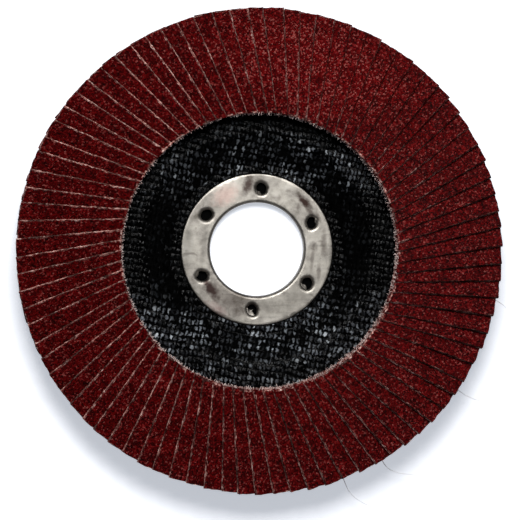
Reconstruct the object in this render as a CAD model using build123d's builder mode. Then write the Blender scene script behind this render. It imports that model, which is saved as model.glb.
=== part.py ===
from build123d import *

import os
from math import asin, atan2, cos, degrees, radians, sin, sqrt, tan

# Flap disc for an angle grinder. Coated-cloth flaps stand in a bed of epoxy on a dished
# glass-fibre plate, and a pressed steel ring lines the plate's bore.
# +Z is the abrasive side. The origin is on the bore's axis, in the plane that the hub stands on.

# Disc
disc_diameter = 115.0
bore_diameter = 22.23

# Backing plate, with its centre depressed so that the locking nut stays below the flaps
plate_diameter = 107.0
plate_thickness = 3.2
hub_flat_diameter = 41.0
cone_top_diameter = 54.0
dish_depth = 4.4
dish_bend_radius = 1.5

# Arbor ring, pressed from one sheet: flange in front, collar through the bore, lip rolled over behind
ring_sheet = 0.6
ring_diameter = 36.0
ring_seat_depth = 0.3
collar_bend_radius = 0.8
collar_bend_chords = 2
ring_edge_chamfer = 0.15
lip_width = 1.2
lip_setback = 0.1
ring_clearance = 0.1

# Claws, pierced down through the flange into the plate
claw_count = 6
claw_circle_diameter = 29.0
claw_first_angle = 85.7
claw_hole_diameter = 2.8
claw_wall = 0.35
claw_length = 1.2
claw_mouth_chamfer = 0.35
claw_clearance = 0.1

# Flaps, cut as rectangles and leaning on each other like fallen dominoes
flap_count = 86
flap_length = 17.0
flap_thickness = 0.9
flap_inner_radius = 33.0
flap_first_angle = 0.6
flap_clearance = 0.03
flaps_per_node = 2

# Adhesive bed under the flaps
adhesive_film = 0.3
adhesive_rise = 0.6
adhesive_squeeze = 0.3
adhesive_margin = 0.3
bond_clearance = 0.02

# Dish: the corners of its outline, as radius and height. Front and back stay a plate thickness
# apart along the cone too, so the back's corners lie a little further out.
rim_face_height = dish_depth + plate_thickness
cone_angle = atan2(dish_depth, (cone_top_diameter - hub_flat_diameter) / 2)
back_corner_shift = plate_thickness * tan(cone_angle / 2)
hub_front = (hub_flat_diameter / 2, plate_thickness)
hub_back = (hub_flat_diameter / 2 + back_corner_shift, 0)
rim_front = (cone_top_diameter / 2, rim_face_height)
rim_back = (cone_top_diameter / 2 + back_corner_shift, dish_depth)

# Ring: the collar's outside, and the heights of the flange's two faces
collar_inner_radius = bore_diameter / 2
collar_outer_radius = collar_inner_radius + ring_sheet
seat_height = plate_thickness - ring_seat_depth
flange_height = seat_height + ring_sheet
lip_radius = collar_outer_radius + lip_width
lip_recess_depth = lip_setback + ring_sheet
plate_bore_radius = collar_outer_radius + ring_clearance
claw_radius = claw_hole_diameter / 2 + claw_wall

# Flaps: neighbours touch at their inner ends, where they are closest, and that sets the lean
flap_pitch = 360 / flap_count
pitch_angle = radians(flap_pitch)
closest_spacing = flap_inner_radius * sin(pitch_angle) - flap_length / 2 * (1 - cos(pitch_angle))
flap_lean = asin((flap_thickness + flap_clearance) / closest_spacing)
flap_half_reach = (flap_length * cos(flap_lean) + flap_thickness * sin(flap_lean)) / 2
flap_half_rise = (flap_length * sin(flap_lean) + flap_thickness * cos(flap_lean)) / 2
flap_width = sqrt((disc_diameter / 2) ** 2 - flap_half_reach**2) - flap_inner_radius
flap_mid_height = rim_face_height + adhesive_film + bond_clearance + flap_half_rise
bed_inner_radius = flap_inner_radius - adhesive_squeeze
bed_outer_radius = plate_diameter / 2 - adhesive_margin


def vertex_at(section, point):
    """The vertex of a turned section at a point, given as its radius and height."""
    return section.vertices().sort_by_distance(point)[0]


def collar_bend(face_height, side):
    """Points round the bend at one end of the collar, from the bore's wall to the face at this height.

    The side is 1 where the collar lies above the face and -1 where it lies below."""
    angles = [radians(90 * chord / collar_bend_chords) for chord in range(collar_bend_chords + 1)]
    return [
        (
            collar_inner_radius + collar_bend_radius * (1 - cos(angle)),
            face_height + side * collar_bend_radius * (1 - sin(angle)),
        )
        for angle in angles
    ]


def flap_plane(angle, level=0.0):
    """A plane along the flap at this angle: X outwards, Y down the flap, its origin on the bore's axis.

    The level is counted from the flap's middle, square to its faces."""
    outwards = Vector(1, 0, 0).rotate(Axis.Z, angle)
    normal = Vector(0, 0, 1).rotate(Axis((0, 0, 0), outwards), -degrees(flap_lean))
    return Plane(origin=Vector(0, 0, flap_mid_height) + normal * level, x_dir=outwards, z_dir=normal)


def finish(piece, name):
    """Names a finished piece and writes it."""
    piece.part.label = name
    export_step(piece.part, f"parts/{name}.step")


os.makedirs("parts", exist_ok=True)

with BuildPart() as backing_plate:
    with BuildSketch(Plane.XZ) as plate_section:
        with BuildLine():
            Polyline(
                (lip_radius + ring_clearance, 0),
                hub_back,
                rim_back,
                (plate_diameter / 2, dish_depth),
                (plate_diameter / 2, rim_face_height),
                rim_front,
                hub_front,
                (ring_diameter / 2 + ring_clearance, plate_thickness),
                (ring_diameter / 2 + ring_clearance, seat_height),
                (plate_bore_radius, seat_height),
                (plate_bore_radius, lip_recess_depth),
                (lip_radius + ring_clearance, lip_recess_depth),
                close=True,
            )
        make_face()
        # Each bend keeps the plate's thickness: a small radius inside it and a large one outside
        for corner in (hub_front, rim_back):
            fillet(vertex_at(plate_section, corner), dish_bend_radius)
        for corner in (hub_back, rim_front):
            fillet(vertex_at(plate_section, corner), dish_bend_radius + plate_thickness)
    revolve(axis=Axis.Z)
    # A blind pocket takes each claw
    with Locations(Plane.XY.offset(seat_height)):
        with PolarLocations(claw_circle_diameter / 2, claw_count, claw_first_angle):
            Hole(claw_radius + claw_clearance, claw_length + claw_clearance)
finish(backing_plate, "backing_plate")

with BuildPart() as arbor_ring:
    with BuildSketch(Plane.XZ) as ring_section:
        with BuildLine():
            Polyline(
                *collar_bend(lip_setback, 1),
                (lip_radius, lip_setback),
                (lip_radius, lip_recess_depth),
                (collar_outer_radius, lip_recess_depth),
                (collar_outer_radius, seat_height),
                (ring_diameter / 2, seat_height),
                (ring_diameter / 2, flange_height),
                *reversed(collar_bend(flange_height, -1)),
                close=True,
            )
        make_face()
        chamfer(vertex_at(ring_section, (ring_diameter / 2, flange_height)), ring_edge_chamfer)
    revolve(axis=Axis.Z)
    # The claws' outsides, then the pierced holes with their drawn-in mouths
    with BuildSketch(Plane.XY.offset(seat_height)):
        with PolarLocations(claw_circle_diameter / 2, claw_count, claw_first_angle):
            Circle(claw_radius)
    extrude(amount=-claw_length)
    with Locations(Plane.XY.offset(flange_height)):
        with PolarLocations(claw_circle_diameter / 2, claw_count, claw_first_angle):
            Hole(claw_hole_diameter / 2, ring_sheet + claw_length)
    mouths = arbor_ring.faces().sort_by(Axis.Z)[-1].inner_wires().edges()
    chamfer([edge for edge in mouths if edge.radius < collar_inner_radius], claw_mouth_chamfer)
finish(arbor_ring, "arbor_ring")

flap_angles = [flap_first_angle + number * flap_pitch for number in range(flap_count)]

with BuildPart() as adhesive_bed:
    # Its walls run straight from flap to flap
    with BuildSketch(Plane.XY.offset(rim_face_height)):
        RegularPolygon(bed_outer_radius, flap_count, rotation=flap_first_angle)
        RegularPolygon(bed_inner_radius, flap_count, rotation=flap_first_angle, mode=Mode.SUBTRACT)
    extrude(amount=adhesive_film + adhesive_rise)
    # Each flap leaves its print: its underside and its lower end
    print_length = 2 * adhesive_rise / sin(flap_lean)
    for angle in flap_angles:
        with BuildSketch(flap_plane(angle, -flap_thickness / 2 - bond_clearance)):
            with Locations((0, flap_length / 2 + bond_clearance)):
                Rectangle(disc_diameter / 2, print_length, align=(Align.MIN, Align.MAX))
    extrude(amount=2 * adhesive_rise, mode=Mode.SUBTRACT)
finish(adhesive_bed, "adhesive_bed")

for node, first in enumerate(range(0, flap_count, flaps_per_node), start=1):
    with BuildPart() as flap_pair:
        for angle in flap_angles[first : first + flaps_per_node]:
            with BuildSketch(flap_plane(angle)):
                with Locations((flap_inner_radius, 0)):
                    Rectangle(flap_width, flap_length, align=(Align.MIN, Align.CENTER))
        extrude(amount=flap_thickness / 2, both=True)
    finish(flap_pair, f"flap_pair_{node:02d}")

straight_collar = flange_height - lip_setback - 2 * collar_bend_radius
print(f"flaps lean {degrees(flap_lean):.2f} degrees and are {flap_width:.2f} mm wide")
print(f"the collar is straight for {straight_collar:.2f} mm")
print(f"the disc is {flap_mid_height + flap_half_rise:.2f} mm high")
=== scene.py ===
import math

import bmesh
import bpy
import numpy as np
from mathutils import Matrix, Vector, noise


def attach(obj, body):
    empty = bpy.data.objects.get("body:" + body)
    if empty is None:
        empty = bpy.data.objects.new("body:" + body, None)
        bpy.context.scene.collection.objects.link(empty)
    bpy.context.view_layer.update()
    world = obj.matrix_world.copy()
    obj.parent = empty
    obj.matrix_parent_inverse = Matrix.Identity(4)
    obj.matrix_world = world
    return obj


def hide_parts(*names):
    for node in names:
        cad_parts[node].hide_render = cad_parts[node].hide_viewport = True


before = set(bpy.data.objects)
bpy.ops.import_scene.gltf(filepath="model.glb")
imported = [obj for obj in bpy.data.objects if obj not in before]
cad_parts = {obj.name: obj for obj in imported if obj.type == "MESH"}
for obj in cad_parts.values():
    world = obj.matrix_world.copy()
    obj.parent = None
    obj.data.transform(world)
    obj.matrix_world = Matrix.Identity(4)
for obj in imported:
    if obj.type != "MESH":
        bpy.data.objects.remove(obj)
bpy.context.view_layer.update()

scene = bpy.context.scene
scene.view_settings.view_transform = "Standard"
mm = 0.001

view = {
    "eye": (-0.0757, 0.0430, 1.100),  # almost straight above the disc
    "aim": (-0.00010, -0.00200, 0.01537),  # a little under the middle, level with the flaps' tops
    "lens": 320.8,
}


def addObject(name, data):
    thing = bpy.data.objects.new(name, data)
    scene.collection.objects.link(thing)
    return thing


camera = addObject("camera", bpy.data.cameras.new("camera"))
scene.camera = camera
camera.data.sensor_width = 36
camera.data.lens = view["lens"]
camera.data.clip_start, camera.data.clip_end = 0.01, 20
ahead = (Vector(view["aim"]) - Vector(view["eye"])).normalized()
right = ahead.cross(Vector((0, 1, 0))).normalized()
upward = right.cross(ahead)
camera.matrix_world = Matrix.Translation(view["eye"]) @ Matrix((right, upward, -ahead)).transposed().to_4x4()
print("camera set")


def linearOf(hexColour):
    # sRGB hex to the linear colour that the shaders work in
    channels = [int(hexColour[i : i + 2], 16) / 255 for i in (1, 3, 5)]
    return (*[c / 12.92 if c <= 0.04045 else ((c + 0.055) / 1.055) ** 2.4 for c in channels], 1.0)


def addNode(tree, kind, inputs=(), **settings):
    # One node, which is a shader's unless its kind says more, with its settings and its inputs, in the sockets'
    # order or by name or number. A socket or a node's first open output is linked, anything else is a value.
    node = tree.nodes.new(kind if "Node" in kind else "ShaderNode" + kind)
    for name, value in settings.items():
        setattr(node, name, value)
    for socket, value in inputs.items() if isinstance(inputs, dict) else enumerate(inputs):
        if isinstance(value, bpy.types.Node):
            value = next(output for output in value.outputs if output.enabled)
        if isinstance(value, bpy.types.NodeSocket):
            tree.links.new(value, node.inputs[socket])
        else:
            node.inputs[socket].default_value = value
    return node


def addSteps(tree, kind, start, *steps):
    # one node of a kind after another, each working on the last, as its operation and what else it takes
    for operation, *others in steps:
        start = addNode(tree, kind, (start, *others), operation=operation)
    return start


def emptyTree(owner):
    owner.use_nodes = True
    owner.node_tree.nodes.clear()
    return owner.node_tree


def setStops(ramp, stops):
    # colours along a ramp, by place
    points = ramp.color_ramp.elements
    while len(points) > 1:
        points.remove(points[-1])
    (points[0].position, colour), *others = stops.items()
    points[0].color = linearOf(colour)
    for place, colour in others:
        points.new(place).color = linearOf(colour)
    return ramp


def startMaterial(name):
    material = bpy.data.materials.new(name)
    tree = emptyTree(material)
    place = addNode(tree, "TexCoord").outputs["Object"]
    inMm = addNode(tree, "Mapping", {"Vector": place, "Scale": (1000, 1000, 1000)})
    return material, tree, inMm


def finishMaterial(material, inputs):
    surface = addNode(material.node_tree, "BsdfPrincipled", inputs)
    addNode(material.node_tree, "OutputMaterial", (surface,))
    return material


def distanceFrom(tree, inMm, middle, halves, direction):
    # how far a point is from an ellipsoid's middle, as a share of its half lengths
    turned = addNode(
        tree,
        "Mapping",
        {"Vector": inMm, "Location": middle, "Rotation": (0, 0, math.radians(direction)), "Scale": halves},
        vector_type="TEXTURE",
    )
    return addNode(tree, "VectorMath", (turned,), operation="LENGTH")


def radiusFrom(tree, inMm):
    # distance from the bore's axis
    return addSteps(tree, "VectorMath", inMm, ("MULTIPLY", (1, 1, 0)), ("LENGTH",))


def pieceFromMesh(name, vertices, faces, material):
    mesh = bpy.data.meshes.new(name)
    mesh.from_pydata([tuple(v) for v in vertices], [], [tuple(f) for f in faces])
    shell = bmesh.new()
    shell.from_mesh(mesh)
    bmesh.ops.remove_doubles(shell, verts=shell.verts, dist=0.01 * mm)
    bmesh.ops.recalc_face_normals(shell, faces=shell.faces)
    shell.to_mesh(mesh)
    shell.free()
    mesh.polygons.foreach_set("use_smooth", [True] * len(mesh.polygons))
    mesh.materials.append(material)
    return addObject(name, mesh)


def openTree(name, values):
    # a Geometry Nodes tree with an input for each value, named as in the piece's dictionary
    tree = bpy.data.node_groups.new(name, "GeometryNodeTree")
    for label, value in values.items():
        kind = {int: "Int", float: "Float"}.get(type(value), "Material")
        tree.interface.new_socket(label, in_out="INPUT", socket_type="NodeSocket" + kind)
    tree.interface.new_socket("Mesh", in_out="OUTPUT", socket_type="NodeSocketGeometry")
    return tree, addNode(tree, "NodeGroupInput").outputs


def plainMeshOf(thing):
    return bpy.data.meshes.new_from_object(thing.evaluated_get(bpy.context.evaluated_depsgraph_get()))


def pieceFromTree(name, tree, values):
    # runs a Geometry Nodes tree with these inputs and keeps its result as a plain mesh
    piece = addObject(name, bpy.data.meshes.new(name + "Seed"))
    maker = piece.modifiers.new("maker", "NODES")
    maker.node_group = tree
    sockets = {item.name: item.identifier for item in tree.interface.items_tree if item.in_out == "INPUT"}
    for label, value in values.items():
        maker[sockets[label]] = value
    made = plainMeshOf(piece)
    piece.modifiers.clear()
    piece.data = made
    made.name = name
    return piece


# Coated abrasive cloth: brown fused alumina, about grit 50, in red phenolic resin on a sized cotton
# and polyester twill. Dull and sparkling at once: dark red resin, paler grain tips, pinkish cut edges.
flapCloth = {
    "grain": 0.32,  # mm across, as in that grit
    "grainHeight": 0.16,  # mm
    "gritLayer": 0.62,  # mm up from the underside, where the cloth ends
    "innerWear": 0.3,  # mm of bare cloth along the inner end
    "freeWear": 0.04,  # mm along the free end
    "rimWear": 0.05,
    "wearSpread": 0.34,  # mm by which those vary
    "faceDepth": (0.02, 0.03),  # mm from an end's face, and from the underside, that still count as the face
    "innerBand": 0.6,  # mm from the inner end where the cut edge keeps its colour in the patch of painted shade
    "softness": 0.04,  # mm
    "yarn": 0.55,  # mm from yarn to yarn
    "grit": {0.0: "#160000", 0.3: "#350001", 0.62: "#4c0102", 0.82: "#5e0708", 0.92: "#6b1c1b", 1.0: "#7c3f3a"},
    "cutYarn": {0.3: "#421815", 0.46: "#9a6259", 0.58: "#cb9b90", 0.75: "#efd2c8"},
    "underside": {0.3: "#4e2a22", 0.7: "#7d4d40"},
    # from a noise's value to a shade: of the grit in patches, and of the cut edges in stretches
    "patchShade": (0.3, 0.7, 0.68, 1.26),
    "cutShade": (0.4, 0.62, 0.14, 1.1),
    "paler": 0.08,  # along the grit's colours, in a patch of painted light toward the top
    "brighter": 0.35,
    # parts of the fan with painted light and shade: middle, half lengths and direction of an ellipsoid in mm
    # and degrees, the shares of those lengths between which it fades, and its strength inside and outside
    "zones": {
        "litGritPatch": ((11.0, 44.0, 13.0), (24.0, 11.0, 30.0), -16, 0.55, 1.25, 1.0, 0.0),  # painted light: paler grain tips and brighter grit toward the top
        "litCutEdges": ((-28.0, 36.0, 13.0), (24.0, 13.0, 30.0), 38, 0.5, 1.3, 0.35, 0.0),  # painted highlight: paler cut edges where they face the light
        "shadedCutEdges": ((49.0, -6.0, 13.0), (15.0, 32.0, 30.0), -4, 0.7, 1.2, 0.25, 1.0),  # painted shade: darker cut edges where they face away from the light
        "cutsShadedToGrit": ((28.0, 39.0, 13.0), (23.0, 12.0, 30.0), -38, 0.6, 1.3, 0.92, 0.0),  # painted shade: cut edges in the grit's colour, where the light leaves them no paler than it
    },
}


def makeFlapMaterial(width):
    material, tree, inMm = startMaterial("coatedAbrasiveCloth")
    place = addNode(tree, "Attribute", attribute_name="flapPlace").outputs["Vector"]
    fromInner, fromFree, up = addNode(tree, "SeparateXYZ", (place,)).outputs
    zones = {}
    # patches of painted light and shade across the fan
    for name, (middle, halves, direction, *fade) in flapCloth["zones"].items():
        away = distanceFrom(tree, inMm, middle, halves, direction)
        zones[name] = addNode(tree, "MapRange", (away, *fade))

    # each grain draws its colour, pushed towards the pale end in a patch of painted light
    grain = addNode(tree, "TexVoronoi", {"Vector": inMm, "Scale": 1 / flapCloth["grain"]})
    pick = addNode(tree, "SeparateColor", (grain.outputs["Color"],)).outputs
    pushed = addNode(tree, "Math", (zones["litGritPatch"], flapCloth["paler"], pick["Red"]), operation="MULTIPLY_ADD")
    grainColour = setStops(addNode(tree, "ValToRGB", (pushed,)), flapCloth["grit"])
    patches = addNode(tree, "TexNoise", {"Vector": inMm, "Scale": 0.45, "Detail": 3.0})
    shade = addNode(tree, "MapRange", (patches, *flapCloth["patchShade"]))
    shade = addNode(tree, "Math", (zones["litGritPatch"], flapCloth["brighter"], shade), operation="MULTIPLY_ADD")
    gritColour = addNode(tree, "VectorMath", {0: grainColour, "Scale": shade}, operation="SCALE")

    # the cloth: on the cut faces the yarns' ends are pale dots in a row, cleaner in some stretches; lighter in one
    # patch, a painted highlight facing the light, and darker in another, a painted shade facing away from it
    yarns = addNode(tree, "TexNoise", {"Vector": inMm, "Scale": 1 / flapCloth["yarn"], "Detail": 1.0})
    cutColour = setStops(addNode(tree, "ValToRGB", (yarns,)), flapCloth["cutYarn"])
    underside = setStops(addNode(tree, "ValToRGB", (yarns,)), flapCloth["underside"])
    stretches = addNode(tree, "TexNoise", {"Vector": inMm, "Scale": 0.3, "Detail": 3.0})
    shade = addNode(tree, "MapRange", (stretches, *flapCloth["cutShade"]))
    # painted highlight and painted shade on the cut edges, in two patches
    shade = addSteps(tree, "Math", shade, ("ADD", zones["litCutEdges"]), ("MULTIPLY", zones["shadedCutEdges"]))
    cutColour = addNode(tree, "VectorMath", {0: cutColour, "Scale": shade}, operation="SCALE")
    # painted shade: in one patch the cut edges take the grit's colour, except near the inner end
    cutsShadedToGrit = addSteps(
        tree, "Math", fromInner, ("GREATER_THAN", flapCloth["innerBand"]), ("MULTIPLY", zones["cutsShadedToGrit"])
    )
    cutColour = addNode(tree, "Mix", {0: cutsShadedToGrit, 6: cutColour, 7: gritColour}, data_type="RGBA")
    endDepth, underDepth = flapCloth["faceDepth"]
    isUnder = addNode(tree, "Math", (up, underDepth), operation="LESS_THAN")
    clothColour = addNode(tree, "Mix", {0: isUnder, 6: cutColour, 7: underside}, data_type="RGBA")

    # grit stays where each end is further away than its wear; the cut faces show it as a layer on the cloth
    nearest = addNode(tree, "Math", (up, flapCloth["gritLayer"]), operation="SUBTRACT")
    fromRim = addNode(tree, "Math", (width, fromInner), operation="SUBTRACT")
    for distance, wear in ((fromInner, "innerWear"), (fromFree, "freeWear"), (fromRim, "rimWear")):
        onCut = addNode(tree, "Math", (distance, endDepth), operation="LESS_THAN")
        steps = ("SUBTRACT", flapCloth[wear]), ("MAXIMUM", onCut), ("MINIMUM", nearest)
        nearest = addSteps(tree, "Math", distance, *steps)
    edges = addNode(tree, "TexNoise", {"Vector": inMm, "Scale": 0.7, "Detail": 2.0})
    half = flapCloth["wearSpread"] / 2
    ragged = addNode(tree, "MapRange", (edges, 0.25, 0.75, -half, half))
    nearest = addNode(tree, "Math", (nearest, ragged), operation="ADD")
    isGrit = addNode(tree, "MapRange", (nearest, -flapCloth["softness"], flapCloth["softness"]))
    colour = addNode(tree, "Mix", {0: isGrit, 6: clothColour, 7: gritColour}, data_type="RGBA")

    tips = addSteps(tree, "Math", 1.0, ("SUBTRACT", grain), ("MULTIPLY", pick["Green"]))
    threads = addNode(tree, "Math", (yarns, 0.8), operation="MULTIPLY")
    height = addNode(tree, "Mix", {0: isGrit, 2: threads, 3: tips}, data_type="FLOAT")
    return finishMaterial(
        material,
        {
            "Base Color": colour,
            "Normal": addNode(
                tree, "Bump", {"Height": height, "Strength": 0.9, "Distance": flapCloth["grainHeight"] * mm}
            ),
            "Roughness": addNode(tree, "MapRange", (pick["Blue"], 0.0, 1.0, 0.45, 0.85)),
            "IOR": 1.55,
            "Specular IOR Level": 0.04,
        },
    )


# Glass-fibre laminate, woven rovings under black phenolic resin, pressed and cured. Deep black, with grey
# specks at the weave's crowns, partly pale glass showing out of the resin and partly painted glints.
laminate = {
    "warpPitch": 1.05,  # mm
    "weftPitch": 1.55,
    "warpTurn": math.radians(-11),
    "stray": 0.22,  # mm that the yarns wander
    "relief": 0.12,  # mm
    "crown": (1.6, 0.8),  # how steep a yarn is across and along itself; more is steeper
    "resin": "#010101",
    "glass": {0.0: "#000000", 0.25: "#151618", 0.45: "#333538", 0.72: "#4f5256", 0.92: "#6c7074", 1.0: "#969a9d"},
    "bare": (0.38, 0.95),  # heights of a crown between which the glass and its painted glints show more and more
    # painted highlight: how much shows across the plate, most towards its top and bottom where the light
    # catches it, over the span in mm to both sides of its middle
    "pressed": {
        0.0: "#d8d8d8", 0.1: "#e8e8e8", 0.16: "#ffffff", 0.27: "#ffffff", 0.35: "#6c6c6c", 0.44: "#383838",
        0.58: "#303030", 0.68: "#585858", 0.75: "#c4c4c4", 0.86: "#d0d0d0", 0.91: "#747474", 1.0: "#505050",
    },
    "pressedSpan": 34.0,
    "patchy": (0.38, 0.62, 0.15, 1.3),  # from a noise's value to how much shows
    "backToFront": (2.9, 3.0, 0.5, 1.9),  # from a height to how much shows
    "seatRadius": 18.2,  # mm; inside it the ring covers the front
    "backHeight": 1.0,  # mm; only the back lies below it
    "sawnRadius": 53.46,
    "plies": {0.4: "#060606", 0.55: "#1c1b1a", 0.68: "#4b4844"},
}


def makeLaminateMaterial():
    material, tree, inMm = startMaterial("blackResinOnWovenGlass")
    # places counted in yarns, so that one cell is one crossing: warp on top in one, weft in the next
    cells = addNode(tree, "Attribute", attribute_name="weavePlace").outputs["Vector"]
    wander = addNode(tree, "TexNoise", {"Vector": inMm, "Scale": 1.1, "Detail": 2.0}).outputs["Color"]
    steps = ("SUBTRACT", (0.5, 0.5, 0.5)), ("MULTIPLY", (1.4, 1.4, 0)), ("ADD", cells)
    cells = addSteps(tree, "VectorMath", wander, *steps)
    crossing = addNode(tree, "VectorMath", (cells,), operation="FLOOR")
    pick = addNode(tree, "TexWhiteNoise", {"Vector": crossing}, noise_dimensions="3D").outputs["Color"]
    pick = addNode(tree, "SeparateColor", (pick,)).outputs
    checks = addNode(tree, "TexChecker", {"Vector": cells, "Scale": 1.0}).outputs["Fac"]
    waves = addSteps(tree, "VectorMath", cells, ("MULTIPLY", (math.pi, math.pi, 0)), ("SINE",), ("ABSOLUTE",))
    x, y, _ = addNode(tree, "SeparateXYZ", (waves,)).outputs
    crowns = []
    steep, flat = laminate["crown"]
    for across, along in ((x, y), (y, x)):
        along = addNode(tree, "Math", (along, flat), operation="POWER")
        crowns.append(addSteps(tree, "Math", across, ("POWER", steep), ("MULTIPLY", along)))
    crown = addNode(tree, "Mix", {0: checks, 2: crowns[0], 3: crowns[1]}, data_type="FLOAT")

    # the weave shows outside the ring's seat and on the back, but not on the sawn rim
    height = addNode(tree, "SeparateXYZ", (inMm,)).outputs["Z"]
    radius = radiusFrom(tree, inMm)
    onBack = addNode(tree, "Math", (height, laminate["backHeight"]), operation="LESS_THAN")
    onRim = addNode(tree, "Math", (radius, laminate["sawnRadius"]), operation="GREATER_THAN")
    steps = ("GREATER_THAN", laminate["seatRadius"]), ("MAXIMUM", onBack), ("SUBTRACT", onRim), ("MAXIMUM", 0.0)
    woven = addSteps(tree, "Math", radius, *steps)

    # the highest crowns show pale glass and painted glints, more towards the plate's top and bottom
    glass = setStops(addNode(tree, "ValToRGB", (pick[0],)), laminate["glass"])
    # painted highlight: more glints towards the plate's top and bottom
    over = addNode(tree, "SeparateXYZ", (inMm,)).outputs["Y"]
    over = addNode(tree, "MapRange", (over, -laminate["pressedSpan"], laminate["pressedSpan"]))
    pressed = setStops(addNode(tree, "ValToRGB", (over,)), laminate["pressed"])
    glintShare = addNode(tree, "MapRange", (crown, *laminate["bare"]))
    patches = addNode(tree, "TexNoise", {"Vector": inMm, "Scale": 0.16, "Detail": 3.0})
    patchy = addNode(tree, "MapRange", (patches, *laminate["patchy"]))
    side = addNode(tree, "MapRange", (height, *laminate["backToFront"]))
    glintShare = addSteps(tree, "Math", glintShare, *[("MULTIPLY", share) for share in (patchy, woven, side)])
    glass = addNode(tree, "VectorMath", (glass, pressed), operation="MULTIPLY")
    glass = addNode(tree, "VectorMath", {0: glass, "Scale": glintShare}, operation="SCALE")
    resin = addNode(tree, "VectorMath", (glass, linearOf(laminate["resin"])[:3]), operation="ADD")
    # the sawn rim shows the plies edge on
    flattened = addNode(tree, "Mapping", {"Vector": inMm, "Scale": (0.25, 0.25, 2.6)})
    plies = addNode(tree, "TexNoise", {"Vector": flattened, "Scale": 1.0, "Detail": 3.0})
    plies = setStops(addNode(tree, "ValToRGB", (plies,)), laminate["plies"])
    colour = addNode(tree, "Mix", {0: onRim, 6: resin, 7: plies}, data_type="RGBA")

    lumps = addNode(tree, "TexNoise", {"Vector": inMm, "Scale": 1.3, "Detail": 2.0})
    proud = addNode(tree, "MapRange", (pick[1], 0.0, 1.0, 0.3, 1.0))
    rise = addNode(tree, "Math", (crown, proud), operation="MULTIPLY")
    rise = addSteps(tree, "Math", lumps, ("MULTIPLY_ADD", 1.6, rise), ("MULTIPLY", woven))
    gloss = addNode(tree, "MapRange", (pick[2], 0.0, 1.0, 0.12, 0.36))
    return finishMaterial(
        material,
        {
            "Base Color": colour,
            "Normal": addNode(tree, "Bump", {"Height": rise, "Strength": 1.0, "Distance": 0.09 * mm}),
            "Roughness": addNode(tree, "Mix", {0: woven, 2: 0.8, 3: gloss}, data_type="FLOAT"),
            "IOR": 1.55,
            "Specular IOR Level": 0.045,
        },
    )


# Cold-rolled steel sheet, electro-tinned, then pressed and clinched. Warm pale grey satin with brown
# finger and press marks.
tinnedSteel = {
    "tin": {0.34: "#69645c", 0.45: "#96918a", 0.56: "#b0aba2", 0.7: "#c6c1b9"},
    "smudge": 0.16,  # per mm
    "scratch": 0.5,
    "stain": "#4a3f3a",
    "stained": (0.6, 0.72, 0.0, 0.55),  # from a noise's value to the stain's strength
    # press marks and tarnish: x and y in mm, direction in degrees, length and width in mm, strength, colour
    "marks": [
        (11.3, 11.3, -47, 2.6, 1.0, 1.0, "#3a2d29"),
        (12.6, 9.0, -50, 2.0, 0.6, 0.6, "#3f322d"),
        (14.6, 7.6, -62, 1.4, 0.6, 0.6, "#3f322d"),
        (-2.2, 15.2, 70, 2.4, 1.2, 0.9, "#40322e"),
        (-11.0, -9.3, -56, 3.4, 1.4, 1.0, "#3a2d2b"),
        (15.9, 1.4, 88, 3.2, 0.8, 0.6, "#4a3f39"),
        (13.2, -1.8, 84, 3.4, 0.5, 0.5, "#544b45"),
        (14.7, -5.2, 88, 2.0, 0.6, 0.5, "#4a3f39"),
        (-12.5, 1.6, 82, 5.0, 0.8, 0.4, "#4a4540"),
        (-16.6, 1.0, 88, 6.0, 1.6, 0.4, "#57564f"),
        (-6.8, -11.4, -32, 7.0, 3.4, 0.48, "#4c403b"),
        (1.5, -13.6, 5, 4.5, 2.4, 0.3, "#45403a"),
        (9.5, -11.0, 42, 6.0, 3.0, 0.26, "#4a463f"),
        (-7.4, 13.0, 30, 3.6, 2.4, 0.4, "#dcb8ae"),
        (-9.6, -14.2, -34, 3.2, 1.4, 0.3, "#b08f8c"),
    ],
    "markHeight": (3.5, 6.0),  # middle and half height of a mark
    # painted shade on the collar's wall inside the bore
    "boreWallShade": "#4f4b47",
    "boreWallShading": (11.7, 11.3, 0.0, 0.65),  # from a radius to how dark the collar's wall is painted, a painted shade inside the bore
    "clawDarkening": "#2a2522",
    "clawDarkened": (2.85, 2.2, 0.0, 0.9),  # from a height inside a claw to how much darker it is, more the deeper
    "clawsFrom": 13.0,  # radius in mm, beyond the collar
}


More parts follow.
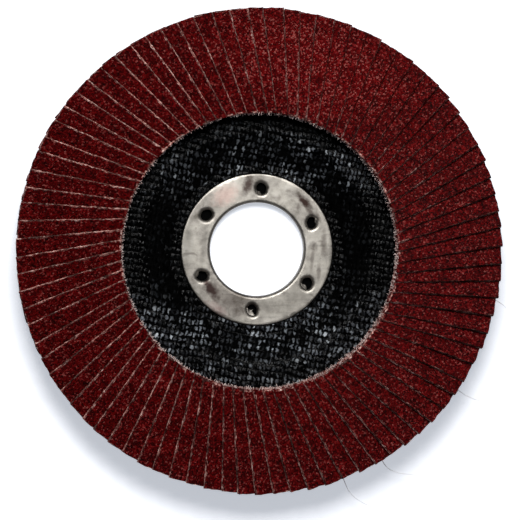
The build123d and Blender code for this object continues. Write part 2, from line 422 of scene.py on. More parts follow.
def makeSteelMaterial():
    material, tree, inMm = startMaterial("tinnedPressedSteel")
    cloud = {"Vector": inMm, "Scale": tinnedSteel["smudge"], "Detail": 9.0, "Roughness": 0.68}
    cloud = addNode(tree, "TexNoise", cloud)
    stains = addNode(tree, "TexNoise", {"Vector": inMm, "Scale": 0.33, "Detail": 3.0, "Distortion": 0.6})
    layers = [(addNode(tree, "MapRange", (stains, *tinnedSteel["stained"])), tinnedSteel["stain"])]
    edges = addNode(tree, "TexNoise", {"Vector": inMm, "Scale": 1.1, "Detail": 3.0})
    height, halfHeight = tinnedSteel["markHeight"]
    for x, y, direction, long, wide, strength, tint in tinnedSteel["marks"]:
        away = distanceFrom(tree, inMm, (x, y, height), (long, wide, halfHeight), direction)
        torn = addNode(tree, "Math", (away, edges), operation="ADD")
        layers.append((addNode(tree, "MapRange", (torn, 0.9, 1.7, strength, 0.0)), tint))
    radius = radiusFrom(tree, inMm)
    # painted shade on the collar's wall inside the bore
    layers.append((addNode(tree, "MapRange", (radius, *tinnedSteel["boreWallShading"])), tinnedSteel["boreWallShade"]))
    # darker deeper inside the claws
    depth = addNode(tree, "SeparateXYZ", (inMm,)).outputs["Z"]
    depth = addNode(tree, "MapRange", (depth, *tinnedSteel["clawDarkened"]))
    clawDarkening = addSteps(tree, "Math", radius, ("GREATER_THAN", tinnedSteel["clawsFrom"]), ("MULTIPLY", depth))
    layers.append((clawDarkening, tinnedSteel["clawDarkening"]))
    colour = setStops(addNode(tree, "ValToRGB", (cloud,)), tinnedSteel["tin"])
    for share, tint in layers:
        colour = addNode(tree, "Mix", {0: share, 6: colour, 7: linearOf(tint)}, data_type="RGBA")

    streaks = addNode(tree, "Mapping", {"Vector": inMm, "Scale": (0.25, 3.0, 1.0), "Rotation": (0, 0, 0.15)})
    rub = addNode(tree, "TexNoise", {"Vector": streaks, "Scale": tinnedSteel["scratch"], "Detail": 4.0})
    return finishMaterial(
        material,
        {
            "Base Color": colour,
            "Metallic": 1.0,
            "Normal": addNode(tree, "Bump", {"Height": cloud, "Strength": 0.6, "Distance": 0.05 * mm}),
            "Roughness": addNode(tree, "MapRange", (rub, 0.3, 0.7, 0.36, 0.56)),
        },
    )


# Filled epoxy paste, set where it was squeezed out: a matt grey-beige with darker streaks.
def makeEpoxyMaterial():
    material, tree, inMm = startMaterial("squeezedEpoxy")
    streaks = addNode(tree, "TexNoise", {"Vector": inMm, "Scale": 0.9, "Detail": 4.0})
    return finishMaterial(
        material,
        {
            "Base Color": setStops(
                addNode(tree, "ValToRGB", (streaks,)), {0.35: "#6e625c", 0.52: "#a3968e", 0.68: "#d2c6be"}
            ),
            "Normal": addNode(tree, "Bump", {"Height": streaks, "Strength": 0.7, "Distance": 0.1 * mm}),
            "Roughness": 0.5,
            "IOR": 1.52,
        },
    )


# Cotton and polyester yarn ends, pulled loose where the cloth was cut. Soft and pale, with a pink cast
# where the resin reached them; the long threads at the rim are clean.
def makeYarnMaterial(name, darker, paler):
    material, tree, inMm = startMaterial(name)
    tint = addNode(tree, "TexNoise", {"Vector": inMm, "Scale": 0.8, "Detail": 1.0})
    colour = setStops(addNode(tree, "ValToRGB", (tint,)), {0.4: darker, 0.6: paler})
    return finishMaterial(material, {"Base Color": colour, "Roughness": 0.9, "Sheen Weight": 0.3})


steelMaterial = makeSteelMaterial()
laminateMaterial = makeLaminateMaterial()
epoxyMaterial = makeEpoxyMaterial()
yarnMaterial = makeYarnMaterial("frayedCottonYarn", "#c9a69e", "#efdcd4")
threadMaterial = makeYarnMaterial("looseCottonThread", "#ece4de", "#ffffff")

# the fan of flaps, by the names of its tree's inputs
flapNodes = 43
flapWidth = 23.94  # mm
flapFan = {
    "Flap Count": 2,  # in one node
    "First Number": 0,
    "First Angle": math.radians(0.6),
    "Pitch": 2 * math.pi / 86,
    "Inner Radius": 33.0 * mm,
    "Flap Width": flapWidth * mm,
    "Flap Length": 17.0 * mm,
    "Flap Thickness": 0.90 * mm,
    "Points Across": 41,  # of a flap's mesh
    "Points Along": 18,
    "Points Through": 4,
    "Lean": math.radians(22.94),
    "Mid Height": 11.645 * mm,
    "Slide": 0.22 * mm,  # how far one sits up or down its neighbour
    "Skew": 0.22 * mm,  # at the rim, from turning a little in its own plane
    "Lift": 0.3 * mm,  # at the rim, where the fan leaves room
    "Reach": 0.15 * mm,  # inwards or outwards
    "Wave": 0.07 * mm,  # of its faces
    "Chip": 0.4 * mm,  # along the free and the inner end
    "Rim Chip": 0.8 * mm,
    "Bore Radius": 32.65 * mm,  # the circle that the inner ends follow
    "Rim Radius": 57.1 * mm,  # and the outer ends
    "Rim Share": 0.55,  # how far the outer ends go from straight to that circle
    "Seed": 11,
    "Material": makeFlapMaterial(flapWidth),
}
print("materials made")


def makeFlapTree():
    tree, given = openTree("flapFan", flapFan)
    size = addNode(tree, "CombineXYZ", [given["Flap " + side] for side in ("Width", "Length", "Thickness")])
    points = [given["Points " + way] for way in ("Across", "Along", "Through")]
    sheet = addNode(tree, "GeometryNodeMeshCube", (size, *points))
    # where a point is on its flap, in mm: out from the inner end, down from the free end, up from the underside
    here = addNode(tree, "GeometryNodeInputPosition")
    half = addNode(tree, "VectorMath", (size, (0.5, 0.5, 0.5)), operation="MULTIPLY")
    place = addNode(tree, "VectorMath", (here, half), operation="ADD")
    place = addNode(tree, "VectorMath", {0: place, "Scale": 1 / mm}, operation="SCALE")
    sheet = addNode(
        tree,
        "GeometryNodeStoreNamedAttribute",
        {"Geometry": sheet, "Name": "flapPlace", "Value": place},
        data_type="FLOAT_VECTOR",
    )
    number = addSteps(tree, "Math", addNode(tree, "GeometryNodeInputIndex"), ("ADD", given["First Number"]))
    line = addNode(tree, "GeometryNodeMeshLine", {"Count": given["Flap Count"], "Offset": (0, 0, 0)}, mode="OFFSET")
    line = addNode(
        tree,
        "GeometryNodeStoreNamedAttribute",
        {"Geometry": line, "Name": "flapNumber", "Value": number},
        data_type="FLOAT",
    )
    copies = addNode(tree, "GeometryNodeInstanceOnPoints", {"Points": line, "Instance": sheet})
    copies = addNode(tree, "GeometryNodeRealizeInstances", (copies,))
    number = addNode(tree, "GeometryNodeInputNamedAttribute", ("flapNumber",), data_type="FLOAT")
    place = addNode(tree, "GeometryNodeInputNamedAttribute", ("flapPlace",), data_type="FLOAT_VECTOR")
    fromInner, fromFree, _ = addNode(tree, "SeparateXYZ", (place,)).outputs
    width = addNode(tree, "Math", (given["Flap Width"], 1 / mm), operation="MULTIPLY")
    outward = addNode(tree, "Math", (fromInner, width), operation="DIVIDE")  # share of the flap's width

    # raggedness: strong at the free end and at the two side cuts, slight on the faces
    apart = addNode(tree, "Math", (number, 3.7), operation="MULTIPLY")
    rough = {"Vector": place, "W": apart, "Scale": 0.8, "Detail": 2.0}
    rough = addNode(tree, "TexNoise", rough, noise_dimensions="4D").outputs["Color"]
    freeEnd = addSteps(tree, "Math", fromFree, ("LESS_THAN", 0.3), ("MULTIPLY", given["Chip"]))
    rimCut = addSteps(tree, "Math", outward, ("GREATER_THAN", 0.99), ("MULTIPLY", given["Rim Chip"]))
    sideCuts = addSteps(tree, "Math", fromInner, ("LESS_THAN", 0.2), ("MULTIPLY_ADD", given["Chip"], rimCut))
    depth = addNode(tree, "CombineXYZ", (sideCuts, freeEnd, given["Wave"]))
    ragged = addSteps(tree, "VectorMath", rough, ("SUBTRACT", (0.5, 0.5, 0.5)), ("MULTIPLY", depth))

    # both ends follow circles round the disc's axis, as if the whole fan had been trued: how far a point
    # moves outwards to lie on the circle, less the further it is from that end
    sideways = addNode(tree, "SeparateXYZ", (here,)).outputs["Y"]
    level = addNode(tree, "Math", (given["Lean"],), operation="COSINE")
    sideways = addSteps(tree, "Math", sideways, ("MULTIPLY", level), ("POWER", 2.0))
    rimStart = addNode(tree, "Math", (given["Inner Radius"], given["Flap Width"]), operation="ADD")
    nearBore = addNode(tree, "MapRange", (outward, 0.0, 0.25, 1.0, 0.0))
    nearRim = addNode(tree, "MapRange", (outward, 0.8, 1.0, 0.0, 1.0))
    nearRim = addNode(tree, "Math", (nearRim, given["Rim Share"]), operation="MULTIPLY")
    moves = []
    for circle, start, near in (("Bore Radius", given["Inner Radius"], nearBore), ("Rim Radius", rimStart, nearRim)):
        steps = ("POWER", 2.0), ("SUBTRACT", sideways), ("SQRT",), ("SUBTRACT", start), ("MULTIPLY", near)
        moves.append(addSteps(tree, "Math", given[circle], *steps))
    trued = addNode(tree, "Math", moves, operation="ADD")

    # each flap lies a little differently, by a random share from -1 to 1 of each amount
    chance = {}
    for offset, amount in enumerate(("Reach", "Slide", "Skew", "Lift"), start=1):
        seed = addNode(tree, "Math", (given["Seed"], float(offset)), operation="ADD")
        pick = addNode(
            tree, "FunctionNodeRandomValue", {2: -1.0, 3: 1.0, "ID": number, "Seed": seed}, data_type="FLOAT"
        )
        chance[amount] = addNode(tree, "Math", (pick, given[amount]), operation="MULTIPLY")
    reach = addNode(tree, "Math", (chance["Reach"], trued), operation="ADD")
    slide = addNode(tree, "Math", (chance["Skew"], outward, chance["Slide"]), operation="MULTIPLY_ADD")
    lift = addSteps(tree, "Math", outward, ("POWER", 2.0), ("MULTIPLY", chance["Lift"]))
    shift = addNode(tree, "CombineXYZ", (reach, slide, lift))

    # then each leans over, goes out to its radius and turns to its place in the ring
    point = addSteps(tree, "VectorMath", here, ("ADD", ragged), ("ADD", shift))
    back = addNode(tree, "Math", (given["Lean"], -1.0), operation="MULTIPLY")
    point = addNode(tree, "VectorRotate", {"Vector": point, "Angle": back}, rotation_type="X_AXIS")
    seat = addNode(tree, "Math", (given["Flap Width"], 0.5, given["Inner Radius"]), operation="MULTIPLY_ADD")
    seat = addNode(tree, "CombineXYZ", (seat, 0.0, given["Mid Height"]))
    point = addNode(tree, "VectorMath", (point, seat), operation="ADD")
    turn = addNode(tree, "Math", (number, given["Pitch"], given["First Angle"]), operation="MULTIPLY_ADD")
    point = addNode(tree, "VectorRotate", {"Vector": point, "Angle": turn}, rotation_type="Z_AXIS")
    fan = addNode(tree, "GeometryNodeSetPosition", {"Geometry": copies, "Position": point})
    fan = addNode(tree, "GeometryNodeRealizeInstances", (fan,))
    fan = addNode(tree, "GeometryNodeSetMaterial", {"Geometry": fan, "Material": given["Material"]})
    addNode(tree, "NodeGroupOutput", (fan,))
    return tree


flapTree = makeFlapTree()
for node in range(flapNodes):
    pair = pieceFromTree(
        f"flapPair{node + 1:02d}", flapTree, {**flapFan, "First Number": node * flapFan["Flap Count"]}
    )
    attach(pair, "root")
    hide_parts(f"flap_pair_{node + 1:02d}")
print("flaps made")

# sizes in mm; heights are above the plane that the hub stands on
ring = {
    "holes": 6,
    "firstAngle": math.radians(85.7),
    "holeCircle": 14.5,  # radius
    "holeRadius": 1.4,
    "clawRadius": 1.75,
    "clawFoot": 1.7,  # height
    "flat": 2.2,  # distance from a hole's middle at which the flange is flat
    "arcSteps": 36,
    "sideSteps": 14,
    "shares": (0.12, 0.26, 0.42, 0.6, 0.8, 1.0),  # from a hole's mouth out to the edge of its sector
    "topHeight": 3.5,
    "underHeight": 2.9,
    "topInner": 11.915,
    "topOuter": 17.8,
    "underInner": 11.715,
    "underOuter": 18.0,
    "bore": 11.115,
    "bend": 0.8,
    "back": 0.1,
    # mouth of a hole, as distance from its middle and height
    "mouth": [
        (1.26, 1.7), (1.26, 2.75), (1.28, 2.98), (1.37, 3.17), (1.52, 3.32), (1.72, 3.43), (1.98, 3.49), (2.2, 3.5),
    ],
    # the lip rolled over behind and the collar's outside, as radius and height
    "lip": [
        (12.3, 0.1), (12.75, 0.1), (12.86, 0.14), (12.915, 0.25), (12.915, 0.55), (12.87, 0.66), (12.78, 0.7),
        (12.0, 0.7), (11.78, 0.72), (11.715, 0.8), (11.715, 1.5), (11.715, 2.2), (11.715, 2.9),
    ],
    "rim": [(18.0, 2.9), (18.0, 3.2), (17.985, 3.36), (17.93, 3.46), (17.8, 3.5)],
    # tongues of steel that the punch left in a hole: which hole, direction and half spread in degrees, length
    "tongues": [(3, 226, 78, 1.8), (4, 222, 48, 0.9), (5, 18, 40, 0.6), (0, 236, 38, 0.55), (2, 160, 36, 0.5)],
    "tongueRoot": 1.4,
    "tongueTop": 3.32,
    "tongueDrop": 0.36,
    "tongueSheet": 0.22,
    # how each hole is out of true: size, ovalness, and the direction in degrees that it is pulled to
    "wobble": [
        (1.0, 0.08, 20), (1.04, 0.09, 70), (0.98, 0.1, 150), (0.97, 0.15, 20), (1.05, 0.09, 110), (0.97, 0.13, 60),
    ],
}


def addLoops(vertices, faces, loops):
    # joins loops of points with quads; a loop with fewer points than its neighbour is joined by wider faces
    starts = []
    for loop in loops:
        starts.append(len(vertices))
        vertices.extend(loop)
    for k in range(len(loops) - 1):
        sizes = len(loops[k]), len(loops[k + 1])
        few = min(sizes)
        for j in range(few):
            sides = []
            for side, size in enumerate(sizes):
                step = size // few
                sides.append([starts[k + side] + (j * step + n) % size for n in range(step + 1)])
            faces.append(sides[0] + sides[1][::-1])


def sectorEdge(inner, outer, arcSteps, sideSteps):
    # the outline of one hole's sector of a flange, clockwise, with the hole on the X axis
    half = math.pi / ring["holes"]
    arc = [-half + 2 * half * step / arcSteps for step in range(arcSteps)]
    side = [inner + (outer - inner) * step / sideSteps for step in range(sideSteps)]
    edge = [(inner * math.cos(a), inner * math.sin(a)) for a in arc]
    edge += [(r * math.cos(half), r * math.sin(half)) for r in side]
    edge += [(outer * math.cos(a), -outer * math.sin(a)) for a in arc]
    edge += [((inner + outer - r) * math.cos(half), -(inner + outer - r) * math.sin(half)) for r in side]
    return np.array(edge)


def holeLoops(hole, edge, profile, flangeHeight, outOfTrue=0.0):
    # loops from inside a hole, up its profile of distance and height, and out to its sector's outline
    turn = ring["firstAngle"] + hole * 2 * math.pi / ring["holes"]
    spin = np.array(((math.cos(turn), math.sin(turn)), (-math.sin(turn), math.cos(turn))))
    middle = np.array((ring["holeCircle"], 0.0))
    spokes = edge - middle
    directions = spokes / np.linalg.norm(spokes, axis=1)[:, None]
    angles = np.arctan2(directions[:, 1], directions[:, 0])
    size, oval, pull = ring["wobble"][hole]
    wave = (size - 1) * ring["holeRadius"] + oval * np.cos(2 * (angles - math.radians(pull)))
    wave += 0.03 * np.cos(5 * angles + hole)
    rings = [(middle + directions * (distance + outOfTrue * wave)[:, None], height) for distance, height in profile]
    last = rings[-1][0]
    rings += [(last + (edge - last) * share, flangeHeight) for share in ring["shares"]]
    return [[(*point, height) for point in points @ spin] for points, height in rings]


def turnedLoops(profile, columns):
    # loops round the bore's axis, one for each radius and height, lined up with the holes' sectors
    first = ring["firstAngle"] - math.pi / ring["holes"]
    angles = [first + k * 2 * math.pi / columns for k in range(columns)]
    return [[(r * math.cos(a), r * math.sin(a), h) for a in angles] for r, h in profile]


def addTongue(vertices, faces, hole, toward, spread, length):
    # a tongue of steel folded into one hole, as a thin closed shell
    turn = ring["firstAngle"] + hole * 2 * math.pi / ring["holes"]
    x, y = ring["holeCircle"] * math.cos(turn), ring["holeCircle"] * math.sin(turn)
    rows, columns = 6, 9
    start = len(vertices)
    for side in (0.0, ring["tongueSheet"]):
        for i in range(rows):
            along = i / (rows - 1)
            for j in range(columns):
                across = 2 * j / (columns - 1) - 1
                angle = math.radians(toward + spread * across * (1 - 0.25 * along))
                distance = ring["tongueRoot"] - length * (1 - 0.45 * across**2) * along
                height = ring["tongueTop"] - ring["tongueDrop"] * math.sin(along * math.pi / 2) - side
                vertices.append((x + distance * math.cos(angle), y + distance * math.sin(angle), height))

    def at(side, i, j):
        return start + side * rows * columns + i * columns + j

    for i in range(rows - 1):
        for j in range(columns - 1):
            for side in (0, 1):
                faces.append((at(side, i, j), at(side, i + 1, j), at(side, i + 1, j + 1), at(side, i, j + 1)))
    border = [(0, j) for j in range(columns - 1)] + [(i, columns - 1) for i in range(rows - 1)]
    border += [(rows - 1, j) for j in range(columns - 1, 0, -1)] + [(i, 0) for i in range(rows - 1, 0, -1)]
    for here, there in zip(border, border[1:] + border[:1]):
        faces.append((at(0, *here), at(0, *there), at(1, *there), at(1, *here)))


def makeRing():
    vertices, faces = [], []
    steps = ring["arcSteps"], ring["sideSteps"]
    topEdge = sectorEdge(ring["topInner"], ring["topOuter"], *steps)
    underEdge = sectorEdge(ring["underInner"], ring["underOuter"], *steps)
    foot, under, claw = ring["clawFoot"], ring["underHeight"], ring["clawRadius"]
    clawWall = [(ring["mouth"][0][0], foot), (claw, foot), (claw, under), (ring["flat"], under)]
    for hole in range(ring["holes"]):
        addLoops(vertices, faces, holeLoops(hole, topEdge, ring["mouth"], ring["topHeight"], 1.0))
        addLoops(vertices, faces, holeLoops(hole, underEdge, clawWall, under, 1.0))
    quarter = [math.radians(15 * k) for k in range(7)]
    bore, bend, top, back = ring["bore"], ring["bend"], ring["topHeight"], ring["back"]
    collar = [(bore + bend * (1 - math.cos(a)), top - bend + bend * math.sin(a)) for a in reversed(quarter)]
    collar += [(bore + bend * (1 - math.cos(a)), back + bend - bend * math.sin(a)) for a in quarter]
    columns = ring["holes"] * ring["arcSteps"]
    addLoops(vertices, faces, turnedLoops(collar + ring["lip"], columns))
    addLoops(vertices, faces, turnedLoops(ring["rim"], columns))
    for tongue in ring["tongues"]:
        addTongue(vertices, faces, *tongue)
    return pieceFromMesh("arborRing", np.array(vertices) * mm, faces, steelMaterial)


arborRing = makeRing()
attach(arborRing, "root")
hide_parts("arbor_ring")
print("arbor ring made", len(arborRing.data.polygons))

# sizes in mm
plate = {
    "fineColumns": 864,
    "columns": 216,
    "fineStep": 0.2,  # where the weave shows
    "coarseStep": 2.0,
    # radius, height and bend radius: the front from the ring's seat to under the flaps, and the rest
    "front": [(18.1, 3.2, 0), (20.5, 3.2, 1.5), (27.0, 7.6, 4.7), (33.9, 7.6, 0)],
    "rest": [
        (33.9, 7.6, 0), (53.5, 7.6, 0), (53.5, 4.4, 0), (27.98, 4.4, 1.5), (21.48, 0.0, 4.7),
        (13.015, 0.0, 0), (13.015, 0.7, 0), (11.815, 0.7, 0), (11.815, 2.9, 0),
    ],
    "pocket": [(0.0, 1.6), (0.9, 1.6), (1.85, 1.6), (1.85, 2.9), (2.3, 2.9)],  # distance and height
    "seat": (11.815, 18.1, 2.9),  # radii and height
    "woven": (18.2, 33.8),  # radii between which the weave stands up
    "wovenEdge": 0.5,
    "swell": 1.9,  # spacing of the slow swell under the weave
}


def bentLine(corners):
    # a line of radius and height with its corners bent, as a list of points
    points = []
    for i, (r, z, bend) in enumerate(corners):
        here = Vector((r, z))
        if not bend:
            points.append(here)
            continue
        back = (Vector(corners[i - 1][:2]) - here).normalized()
        forth = (Vector(corners[i + 1][:2]) - here).normalized()
        half = back.angle(forth) / 2
        centre = here + (back + forth).normalized() * bend / math.sin(half)
        start = here + back * bend / math.tan(half) - centre
        end = here + forth * bend / math.tan(half) - centre
        points += [centre + start.lerp(end, step / 6).normalized() * bend for step in range(7)]
    return points


def finelyStepped(points, longest):
    stepped = [points[0]]
    for a, b in zip(points, points[1:]):
        parts = max(1, math.ceil((b - a).length / longest))
        stepped += [a.lerp(b, part / parts) for part in range(1, parts + 1)]
    return stepped


def weaveCells(x, y):
    # where a point is in the weave, counted in yarns that stray a little from their lines
    turned, stray = laminate["warpTurn"], laminate["stray"]
    a = x * np.cos(turned) + y * np.sin(turned)
    b = y * np.cos(turned) - x * np.sin(turned)
    warp = a + stray * np.sin(b / 2.3) + stray * np.sin(a / 3.7 + 2)
    weft = b + stray * np.sin(a / 2.9 + 1) + stray * np.sin(b / 4.1)
    return warp / laminate["warpPitch"], weft / laminate["weftPitch"]


def makePlate():
    vertices, faces = [], []
    fine, columns = plate["fineColumns"], plate["columns"]
    front = finelyStepped(bentLine(plate["front"]), plate["fineStep"])
    addLoops(vertices, faces, turnedLoops(front, fine))
    points = np.array(vertices)
    u, v = weaveCells(points[:, 0], points[:, 1])
    across, along = np.abs(np.sin(math.pi * u)), np.abs(np.sin(math.pi * v))
    warpOnTop = (np.floor(u) + np.floor(v)) % 2 == 0
    steep, flat = laminate["crown"]
    crown = np.where(warpOnTop, across**steep * along**flat, along**steep * across**flat)
    spread = plate["swell"]
    swell = np.array([noise.noise(Vector((x / spread, y / spread, 3.1))) for x, y, z in vertices])
    radius = np.hypot(points[:, 0], points[:, 1])
    first, last = plate["woven"]
    fade = np.clip((radius - first) / plate["wovenEdge"], 0, 1) * np.clip((last - radius) / plate["wovenEdge"], 0, 1)
    points[:, 2] += fade * laminate["relief"] * (crown - 0.55 + 0.7 * swell)
    vertices = [tuple(p) for p in points]

    rest = finelyStepped(bentLine(plate["rest"]), plate["coarseStep"])
    addLoops(vertices, faces, turnedLoops(front[-1:], fine) + turnedLoops(rest[1:], columns))
    inner, edge, height = plate["seat"]
    addLoops(vertices, faces, turnedLoops([(edge, height)], columns) + turnedLoops(front[:1], fine))
    sector = sectorEdge(inner, edge, columns // ring["holes"], ring["sideSteps"])
    for hole in range(ring["holes"]):
        addLoops(vertices, faces, holeLoops(hole, sector, plate["pocket"], height))
    piece = pieceFromMesh("backingPlate", np.array(vertices) * mm, faces, laminateMaterial)
    mesh = piece.data
    flat = np.zeros(len(mesh.vertices) * 3)
    mesh.vertices.foreach_get("co", flat)
    flat = flat.reshape(-1, 3) / mm
    u, v = weaveCells(flat[:, 0], flat[:, 1])
    cells = mesh.attributes.new("weavePlace", "FLOAT_VECTOR", "POINT")
    cells.data.foreach_set("vector", np.stack([u, v, np.full_like(u, 0.5)], 1).ravel())
    return piece


backingPlate = makePlate()
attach(backingPlate, "root")
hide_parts("backing_plate")
print("backing plate made", len(backingPlate.data.polygons))

# sizes in mm
bead = {
    "columns": 540,
    "inner": 32.72,  # radii
    "outer": 53.2,
    "low": 7.55,  # heights
    "top": 8.35,
    "ripple": 0.22,
    "rise": 0.5,
    # squeezed out and rounded at both edges: distance from the nearer edge, and share of the height
    "half": [(0.0, 0.0), (0.02, 0.35), (0.1, 0.68), (0.25, 0.9), (0.5, 1.0)],
    "seed": 5,
}


def makeBead():
    vertices, faces = [], []
    half, columns, seed = bead["half"], bead["columns"], bead["seed"]
    for k in range(columns):
        angle = 2 * math.pi * k / columns
        spot = Vector((math.cos(angle), math.sin(angle), 0.0))
        inner = bead["inner"] + bead["ripple"] * noise.noise(spot * 14 + Vector((0, 0, seed)))
        inner += 0.4 * bead["ripple"] * noise.noise(spot * 45)
        outer = bead["outer"] + bead["ripple"] * noise.noise(spot * 23 + Vector((0, 7, seed)))
        top = bead["top"] + bead["rise"] * noise.noise(spot * 20 + Vector((3, 0, seed)))
        section = [(inner + d, up) for d, up in half] + [(outer - d, up) for d, up in reversed(half)]
        for r, up in section:
            vertices.append((r * spot.x * mm, r * spot.y * mm, (bead["low"] + (top - bead["low"]) * up) * mm))
    size = 2 * len(half)
    for k in range(columns):
        n = (k + 1) % columns
        for j in range(size):
            m = (j + 1) % size
            faces.append((k * size + j, n * size + j, n * size + m, k * size + m))
    return pieceFromMesh("adhesiveBead", vertices, faces, epoxyMaterial)


adhesiveBead = makeBead()
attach(adhesiveBead, "root")
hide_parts("adhesive_bed")
print("adhesive made")

# yarns pulled loose at the flaps' inner ends, by the names of their tree's inputs
fraying = {
    "Yarn Count": 1300,
    "Radius": 32.7 * mm,  # of the circle that they stand on
    "Lowest": 9.0 * mm,
    "Highest": 15.1 * mm,
    "Yarn Length": 0.85 * mm,
    "Yarn Radius": 0.065 * mm,
    "Seed": 4,
    "Material": yarnMaterial,
}


def makeFrayTree():
    tree, given = openTree("frayedYarns", fraying)
    # one yarn: an arc from its root along X, as a thin tube
    tip = addNode(tree, "CombineXYZ", (given["Yarn Length"],))
    middle = addNode(tree, "VectorMath", {0: tip, "Scale": 0.5}, operation="SCALE")
    sag = addNode(tree, "VectorMath", {0: tip, "Scale": 0.25}, operation="SCALE")
    sag = addNode(tree, "VectorRotate", {"Vector": sag, "Angle": -1.2}, rotation_type="Y_AXIS")
    middle = addNode(tree, "VectorMath", (middle, sag), operation="ADD")
    arc = addNode(tree, "GeometryNodeCurveQuadraticBezier", (4, (0, 0, 0), middle, tip))
    section = addNode(tree, "GeometryNodeCurvePrimitiveCircle", {"Resolution": 4, "Radius": given["Yarn Radius"]})
    yarn = addNode(tree, "GeometryNodeCurveToMesh", {"Curve": arc, "Profile Curve": section, "Fill Caps": True})

    # each draws its angle and height on the circle, its heading, roll and pitch, and its size
    ranges = [(0.0, 2 * math.pi), (given["Lowest"], given["Highest"]), (math.pi - 1.1, math.pi + 1.1)]
    ranges += [(-1.5, 1.5), (-0.5, 0.5), (0.35, 1.0)]
    draws = []
    for offset, (least, most) in enumerate(ranges, start=1):
        seed = addNode(tree, "Math", (given["Seed"], float(offset)), operation="ADD")
        draws.append(addNode(tree, "FunctionNodeRandomValue", {2: least, 3: most, "Seed": seed}, data_type="FLOAT"))
    angle, height, heading, roll, pitch, size = draws
    spot = addNode(tree, "CombineXYZ", (given["Radius"], 0.0, height))
    spot = addNode(tree, "VectorRotate", {"Vector": spot, "Angle": angle}, rotation_type="Z_AXIS")
    line = addNode(tree, "GeometryNodeMeshLine", {"Count": given["Yarn Count"], "Offset": (0, 0, 0)}, mode="OFFSET")
    line = addNode(tree, "GeometryNodeSetPosition", {"Geometry": line, "Position": spot})
    heading = addNode(tree, "Math", (angle, heading), operation="ADD")
    facing = addNode(tree, "CombineXYZ", (roll, pitch, heading))
    yarns = {"Points": line, "Instance": yarn, "Rotation": facing, "Scale": size}
    yarns = addNode(tree, "GeometryNodeInstanceOnPoints", yarns)
    yarns = addNode(tree, "GeometryNodeRealizeInstances", (yarns,))
    yarns = addNode(tree, "GeometryNodeSetMaterial", {"Geometry": yarns, "Material": given["Material"]})
    addNode(tree, "NodeGroupOutput", (yarns,))
    return tree


frayedYarns = pieceFromTree("frayedYarns", makeFrayTree(), fraying)
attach(frayedYarns, "root")

# long threads that hang from the rim, as points in mm
rimThreads = {
    "radius": 0.1 * mm,
    "taper": 0.55,
    "paths": [
        [(19.2, -51.5, 9.0), (20.6, -55.6, 8.6), (22.3, -58.4, 6.0), (25.0, -60.4, 4.2), (27.6, -61.6, 3.4)],
        [(27.6, -46.5, 9.0), (29.6, -50.6, 8.4), (31.6, -52.6, 6.2), (35.0, -53.6, 4.6), (38.6, -54.0, 3.6)],
        [(44.6, -30.5, 9.0), (47.2, -33.2, 8.2), (50.0, -35.0, 6.0), (52.4, -36.0, 4.8), (54.0, -36.4, 4.0)],
        [(54.0, -11.2, 9.0), (56.4, -12.0, 8.4), (58.2, -13.0, 7.6), (59.2, -14.0, 6.8)],
    ],
}


def makeThreads():
    curve = bpy.data.curves.new("rimThreads", "CURVE")
    curve.dimensions = "3D"
    curve.bevel_depth = rimThreads["radius"]
    curve.bevel_resolution = 1
    curve.use_fill_caps = True
    for path in rimThreads["paths"]:
        spline = curve.splines.new("NURBS")
        spline.points.add(len(path) - 1)
        for i, (x, y, z) in enumerate(path):
            spline.points[i].co = (x * mm, y * mm, z * mm, 1)
            spline.points[i].radius = 1.0 - rimThreads["taper"] * i / (len(path) - 1)
        spline.order_u = 3
        spline.use_endpoint_u = True
        spline.resolution_u = 8
    curve.materials.append(threadMaterial)
    source = addObject("rimThreadSource", curve)
    mesh = plainMeshOf(source)
    bpy.data.objects.remove(source)
    return addObject("rimThreads", mesh)


threads = makeThreads()
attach(threads, "root")
print("yarns made")

studio = {
    "floorSize": 3.0,  # m
    "floorColour": "#f4f4f6",
    "lift": 0.51,  # how bright the floor is seen to glow, so that it reads as white; matt things get none of it
    "farLift": (0.2, 0.45),  # m from the object between which that rises to white
    "liftColour": "#ebf1fa",
    "fill": 0.19,
    "fillColour": "#e8edfb",
    "backdrop": (0.05, 0.4, 1.0, 0.012),  # from a direction's rise to the light that shiny things see there
    "keyPower": 3.3,
    "keyPlace": (-0.022, 0.245, 0.56),
    "keySize": 0.2,
}


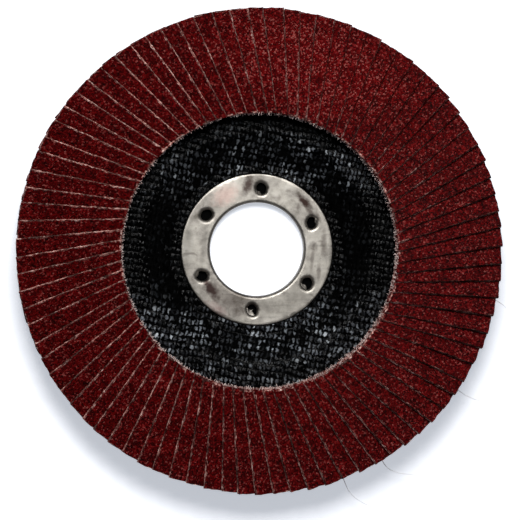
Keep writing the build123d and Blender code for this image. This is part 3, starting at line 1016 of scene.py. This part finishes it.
def seenDirectly(tree):
    # 1 for the camera's rays and for those that shiny and clear things send on
    rays = addNode(tree, "LightPath").outputs
    seen = rays["Is Camera Ray"]
    for sentOn in ("Is Glossy Ray", "Is Transmission Ray"):
        seen = addNode(tree, "Math", (seen, rays[sentOn]), operation="MAXIMUM")
    return seen, rays["Is Camera Ray"]


def makeFloor():
    half = studio["floorSize"] / 2
    mesh = bpy.data.meshes.new("floor")
    mesh.from_pydata([(-half, -half, 0), (half, -half, 0), (half, half, 0), (-half, half, 0)], [], [(0, 1, 2, 3)])
    material = bpy.data.materials.new("whitePaperSweep")  # matt white paper
    tree = emptyTree(material)
    paper = addNode(tree, "BsdfDiffuse", {"Color": linearOf(studio["floorColour"])})
    place = addNode(tree, "TexCoord").outputs["Object"]
    away = addNode(tree, "VectorMath", (place,), operation="LENGTH")
    lift = addNode(tree, "MapRange", (away, *studio["farLift"], studio["lift"], 1.0))
    lift = addNode(tree, "Math", (seenDirectly(tree)[0], lift), operation="MULTIPLY")
    glow = addNode(tree, "Emission", {"Color": linearOf(studio["liftColour"]), "Strength": lift})
    both = addNode(tree, "AddShader", (paper, glow))
    addNode(tree, "OutputMaterial", (both,))
    mesh.materials.append(material)
    floor = addObject("floor", mesh)


def makeWorld():
    world = bpy.data.worlds.new("studio")
    scene.world = world
    tree = emptyTree(world)
    fill = addNode(tree, "Background", {"Color": linearOf(studio["fillColour"]), "Strength": studio["fill"]})
    # the camera sees a white backdrop; what shines shows it too, going dark overhead
    rise = addNode(tree, "TexCoord").outputs["Generated"]
    rise = addNode(tree, "SeparateXYZ", (rise,)).outputs["Z"]
    white = addNode(tree, "MapRange", (rise, *studio["backdrop"]))
    seen, byCamera = seenDirectly(tree)
    white = addNode(tree, "Math", (byCamera, white), operation="MAXIMUM")
    backdrop = addNode(tree, "Background", {"Color": (1, 1, 1, 1), "Strength": white})
    mixed = addNode(tree, "MixShader", (seen, fill, backdrop))
    addNode(tree, "OutputWorld", (mixed,))


makeFloor()
makeWorld()
key = addObject("keyLight", bpy.data.lights.new("keyLight", "AREA"))
key.data.energy = studio["keyPower"]
key.data.size = studio["keySize"]
key.location = studio["keyPlace"]
key.rotation_euler = (-Vector(studio["keyPlace"])).to_track_quat("-Z", "Y").to_euler()
print("light set")
